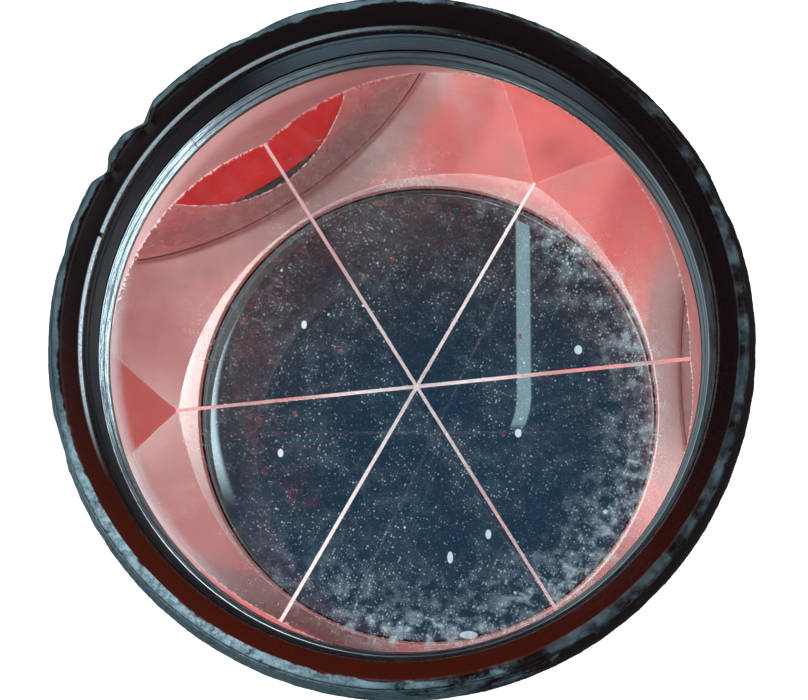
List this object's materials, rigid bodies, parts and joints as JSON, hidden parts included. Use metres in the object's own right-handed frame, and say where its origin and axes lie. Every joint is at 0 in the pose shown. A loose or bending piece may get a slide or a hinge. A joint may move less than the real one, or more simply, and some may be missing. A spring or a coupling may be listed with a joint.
{
  "type": "surveying prism",
  "caption": "Round surveying prism: solid glass corner cube in a red canister with a black screw-on hood and a tapped brass rear insert.",
  "frame": {"origin": "centre of the rear seating face of the brass insert", "axes": "+Z along the optical axis, out of the glass; +X to the right in the picture"},
  "size_m": [0.0724, 0.0724, 0.0808],
  "materials": {
    "red_polymer": "moulded, satin gloss",
    "black_polymer": "moulded, glossy, with edges rubbed to a blue-grey",
    "optical_glass": "polished faces, ground side",
    "black_rubber": "matte",
    "ring_metal": "dark anodised, semi gloss",
    "brass": "turned",
    "steel": "turned"
  },
  "bodies": {
    "canister": {"canister_cup": "red_polymer", "prism_glass": "optical_glass", "seat_ring": "black_rubber", "glass_gasket": "black_rubber", "retaining_ring": "ring_metal", "flange_seal": "black_rubber", "thread_insert": "brass", "insert_seal": "black_rubber", "insert_pins": "steel", "insert_washer": "steel", "insert_nut": "brass"},
    "gasket": {"hood_gasket": "black_rubber"},
    "hood": {"front_hood": "black_polymer"}
  },
  "joints": [
    {"name": "hood_travel", "type": "slide", "parent": "canister", "child": "gasket", "axis": [0, 0, 1], "range_m": [0, 0.006]},
    {"name": "hood_turn", "type": "hinge", "parent": "gasket", "child": "hood", "pos_m": [0, 0, 0.062], "axis": [0, 0, 1], "range_deg": [0, 1440]}
  ],
  "couplings": [
    {"joint": "hood_travel", "follows": "hood_turn", "m_per_rad": 0.00023873}
  ]
}
